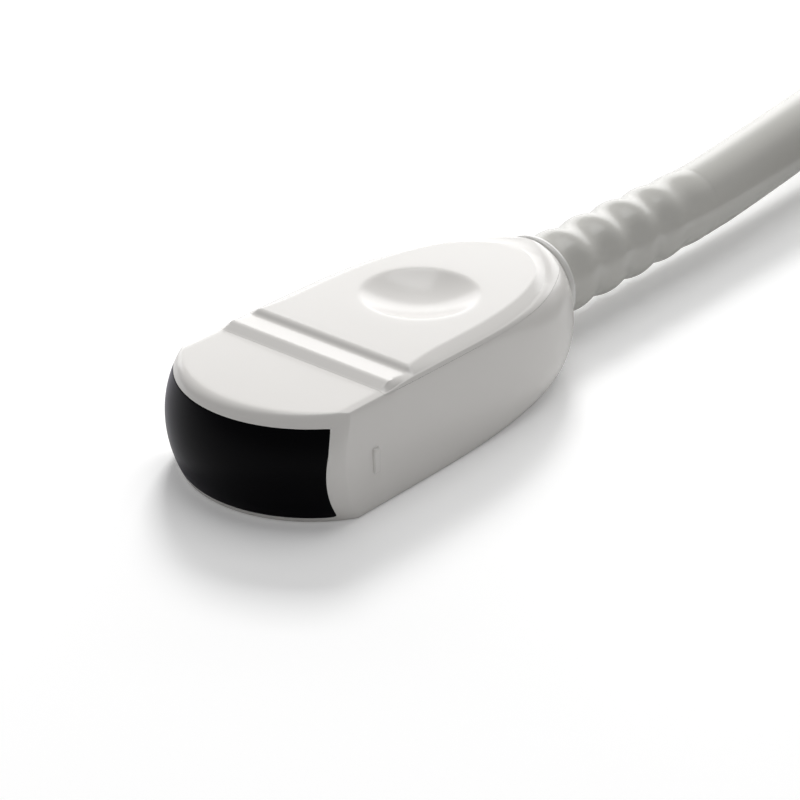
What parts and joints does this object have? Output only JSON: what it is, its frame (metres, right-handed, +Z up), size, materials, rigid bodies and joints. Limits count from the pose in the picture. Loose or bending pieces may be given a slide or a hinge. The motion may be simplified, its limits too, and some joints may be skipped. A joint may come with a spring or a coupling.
{
  "type": "ultrasound transducer probe",
  "caption": "Micro-convex ultrasound transducer probe with a black acoustic lens, a thumb dish on its cover, a ribbed strain relief and a coiled lead with its plug.",
  "frame": {"origin": "bottom centre of the probe without its lead, on the surface it lies on", "axes": "+Z up from the flat back, +Y from the lens towards the lead, +X across the probe"},
  "size_m": [0.1408, 0.27, 0.0228],
  "materials": {
    "shell": "satin",
    "lens": "semi-matte",
    "seal": "matte",
    "matching": "matte",
    "element": "matte",
    "backing": "matte",
    "flex": "satin",
    "frame_black": "matte",
    "laminate": "satin",
    "socket": "matte",
    "tin": "satin",
    "coax": "satin",
    "braid": "braided",
    "steel": "satin",
    "collar": "gloss",
    "relief": "satin",
    "jacket": "satin",
    "strap": "matte",
    "plug": "satin"
  },
  "bodies": {
    "root": {"housing": "shell", "top_cover": "shell", "cover_seal": "seal", "acoustic_lens": "lens", "matching_layer_outer": "matching", "matching_layer_inner": "matching", "array_elements": "element", "flex_circuit_upper": "flex", "flex_circuit_lower": "flex", "backing_block": "backing", "array_frame": "frame_black", "interconnect_board": "laminate", "flex_socket_upper": "socket", "flex_socket_lower": "socket", "coax_comb_upper": "socket", "coax_comb_lower": "socket", "coax_fan_upper": "coax", "coax_fan_lower": "coax", "screening_can_upper": "tin", "screening_can_lower": "tin", "board_screw_1": "steel", "board_screw_2": "steel", "board_screw_3": "steel", "board_screw_4": "steel", "cable_core": "braid", "braid_ferrule": "tin", "cable_clamp": "tin", "clamp_screw_1": "steel", "clamp_screw_2": "steel", "neck_collar": "collar", "strain_relief": "relief", "probe_cable": "jacket", "cable_coil": "jacket", "plug_cable": "jacket", "coil_tie_a": "strap", "coil_tie_b": "strap", "plug_case_upper": "plug", "plug_case_lower": "plug", "plug_relief": "relief", "plug_core": "braid", "plug_shroud": "tin", "contact_block": "frame_black", "plug_board": "laminate", "plug_screw_1": "steel", "plug_screw_2": "steel"}
  },
  "joints": []
}
